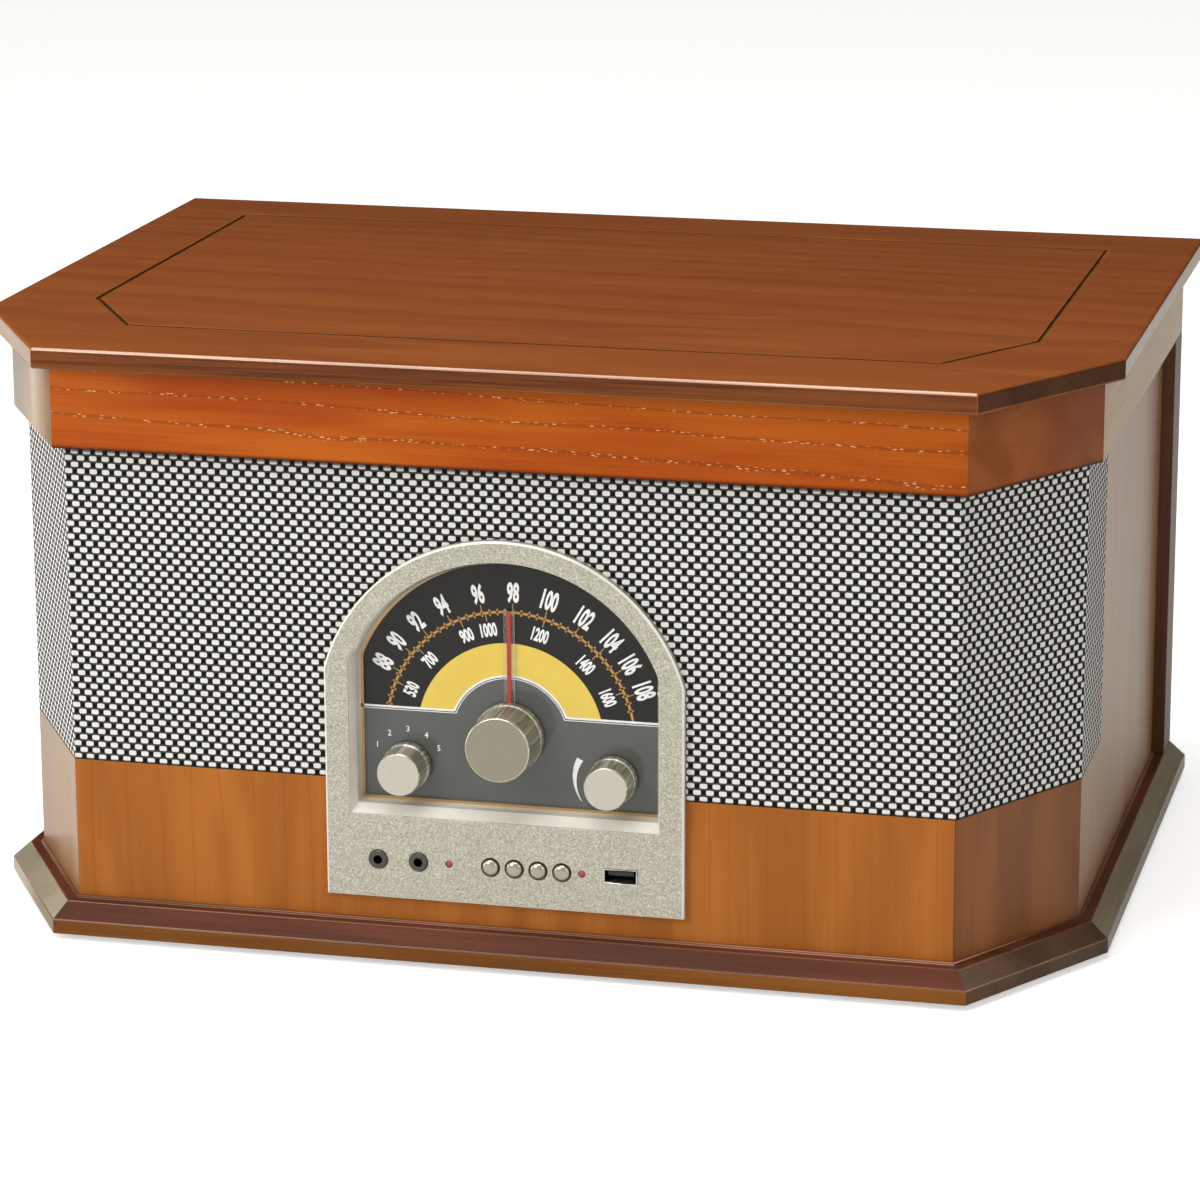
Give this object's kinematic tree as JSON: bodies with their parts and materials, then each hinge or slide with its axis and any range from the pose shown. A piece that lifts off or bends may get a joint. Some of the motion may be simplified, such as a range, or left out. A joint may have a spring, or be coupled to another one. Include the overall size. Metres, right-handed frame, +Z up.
{
  "type": "turntable",
  "caption": "Retro wooden cabinet turntable with chamfered front corners, hinged lid, cloth grille and an arched radio dial with knobs.",
  "frame": {"origin": "under the middle of the cabinet, on the surface that the feet stand on", "axes": "+X to the object's right seen from the front, +Y towards the back, +Z up"},
  "size_m": [0.46, 0.335, 0.242],
  "materials": {
    "lid_wood": "clear gloss lacquer over mid reddish-brown veneer",
    "oak": "satin lacquer over orange oak",
    "panel_wood": "satin lacquer over orange-brown veneer",
    "plinth_wood": "satin dark red-brown stain",
    "board": "bare fibreboard",
    "back_board": "dark painted hardboard",
    "cloth": "woven black and white grille cloth",
    "champagne": "champagne metallic paint with fine flake",
    "chrome_trim": "chrome plated moulding",
    "dial": "dark printed dial",
    "clear": "clear acrylic strip with a red line",
    "knob": "turned champagne face, plated skirt",
    "black": "black moulded plastic",
    "button": "champagne moulded plastic",
    "lamp": "translucent lens",
    "steel": "zinc plated steel",
    "brass": "satin brass plate",
    "deck": "black textured moulding",
    "platter_metal": "machined edge",
    "rubber": "matt rubber",
    "arm_metal": "satin silver",
    "plated": "bright plate",
    "board_green": "green circuit board",
    "core": "stacked sheet steel",
    "ferrite": "dark grey ferrite",
    "pulp": "black paper cone",
    "red_plastic": "red moulded plastic"
  },
  "bodies": {
    "cabinet": {"plinth_moulding": "plinth_wood", "base_board": "board", "feet": "rubber", "front_board": "panel_wood", "side_boards": "panel_wood", "rear_frame": "oak", "apron_rails": "oak", "back_panel": "back_board", "cabinet_screws": "steel", "grille_cloth": "cloth", "grille_frame": "board", "speaker_frames": "steel", "speaker_cones": "pulp", "hinge_leaves_cabinet": "brass", "stay_bracket": "brass", "deck_plate": "deck", "spindle": "steel", "turntable_motor": "steel", "drive_belt": "rubber", "tonearm_base": "black", "arm_rest": "black", "deck_switches": "black", "record_adapter": "plated", "bezel": "champagne", "window_trim": "chrome_trim", "dial_plate": "dial", "control_plate": "steel", "strip_board": "board_green", "front_sockets": "black", "indicator_lamps": "lamp", "amplifier_board": "board_green", "mains_transformer": "core", "ferrite_antenna": "ferrite", "rear_sockets": "black"},
    "lid": {"lid_board": "lid_wood", "hinge_leaves_lid": "brass", "stay_track": "brass"},
    "lid_stay": {"stay_arm": "brass"},
    "tuner": {"tuning_knob": "knob", "dial_pointer": "clear"},
    "selector": {"selector_knob": "knob"},
    "volume": {"volume_knob": "knob"},
    "previous_button": {"button_previous": "button"},
    "play_button": {"button_play": "button"},
    "next_button": {"button_next": "button"},
    "recording_button": {"button_record": "button"},
    "platter_body": {"platter": "platter_metal", "platter_mat": "rubber"},
    "pulley": {"motor_pulley": "brass"},
    "speed_control": {"speed_lever": "black"},
    "stop_control": {"stop_switch": "black"},
    "arm_yoke": {"tonearm_yoke": "arm_metal"},
    "tonearm": {"tonearm_gimbal": "arm_metal", "tonearm_tube": "arm_metal", "counterweight": "plated", "headshell": "black", "cartridge": "black", "stylus": "red_plastic"},
    "cue_control": {"cue_lever": "plated"},
    "cue_lift": {"cue_bar": "steel"}
  },
  "joints": [
    {"name": "lid_hinge", "type": "hinge", "parent": "cabinet", "child": "lid", "pos_m": [0, 0.165, 0.228], "axis": [-1, 0, 0], "range_deg": [0, 75]},
    {"name": "lid_stay_pivot", "type": "hinge", "parent": "cabinet", "child": "lid_stay", "pos_m": [0.211, 0.095, 0.228], "axis": [-1, 0, 0], "range_deg": [0, 150]},
    {"name": "tuning_turn", "type": "hinge", "parent": "cabinet", "child": "tuner", "pos_m": [0, -0.1575, 0.0915], "axis": [0, 1, 0], "range_deg": [-80, 80]},
    {"name": "selector_turn", "type": "hinge", "parent": "cabinet", "child": "selector", "pos_m": [-0.0416, -0.1575, 0.077], "axis": [0, 1, 0], "range_deg": [0, 120]},
    {"name": "volume_turn", "type": "hinge", "parent": "cabinet", "child": "volume", "pos_m": [0.0416, -0.1575, 0.077], "axis": [0, 1, 0], "range_deg": [0, 300]},
    {"name": "previous_press", "type": "slide", "parent": "cabinet", "child": "previous_button", "axis": [0, 1, 0], "range_m": [0, 0.0008], "stiffness_N_per_m": 200},
    {"name": "play_press", "type": "slide", "parent": "cabinet", "child": "play_button", "axis": [0, 1, 0], "range_m": [0, 0.0008], "stiffness_N_per_m": 200},
    {"name": "next_press", "type": "slide", "parent": "cabinet", "child": "next_button", "axis": [0, 1, 0], "range_m": [0, 0.0008], "stiffness_N_per_m": 200},
    {"name": "recording_press", "type": "slide", "parent": "cabinet", "child": "recording_button", "axis": [0, 1, 0], "range_m": [0, 0.0008], "stiffness_N_per_m": 200},
    {"name": "platter_spin", "type": "hinge", "parent": "cabinet", "child": "platter_body", "pos_m": [-0.038, 0.0016, 0.1893], "axis": [0, 0, -1], "continuous": true},
    {"name": "pulley_spin", "type": "hinge", "parent": "cabinet", "child": "pulley", "pos_m": [-0.09386, 0.05746, 0.1798], "axis": [0, 0, -1], "continuous": true},
    {"name": "speed_turn", "type": "hinge", "parent": "cabinet", "child": "speed_control", "pos_m": [0.172, -0.062, 0.1798], "axis": [0, 0, 1], "range_deg": [-25, 25]},
    {"name": "stop_slide", "type": "slide", "parent": "cabinet", "child": "stop_control", "axis": [0, 1, 0], "range_m": [0, 0.006]},
    {"name": "arm_swing", "type": "hinge", "parent": "cabinet", "child": "arm_yoke", "pos_m": [0.12222, 0.0941, 0.2071], "axis": [0, 0, -1], "range_deg": [0, 45]},
    {"name": "arm_lift", "type": "hinge", "parent": "arm_yoke", "child": "tonearm", "pos_m": [0.12222, 0.0941, 0.2071], "axis": [-1, 0, 0], "range_deg": [0, 5]},
    {"name": "cue_turn", "type": "hinge", "parent": "cabinet", "child": "cue_control", "pos_m": [0.15002, 0.0801, 0.1868], "axis": [1, 0, 0], "range_deg": [0, 55]},
    {"name": "cue_travel", "type": "slide", "parent": "cabinet", "child": "cue_lift", "axis": [0, 0, 1], "range_m": [-0.006, 0]}
  ],
  "couplings": [
    {"joint": "lid_stay_pivot", "follows": "lid_hinge", "ratio": 2},
    {"joint": "pulley_spin", "follows": "platter_spin", "ratio": 12.4},
    {"joint": "cue_travel", "follows": "cue_turn", "m_per_rad": -0.0062504}
  ]
}
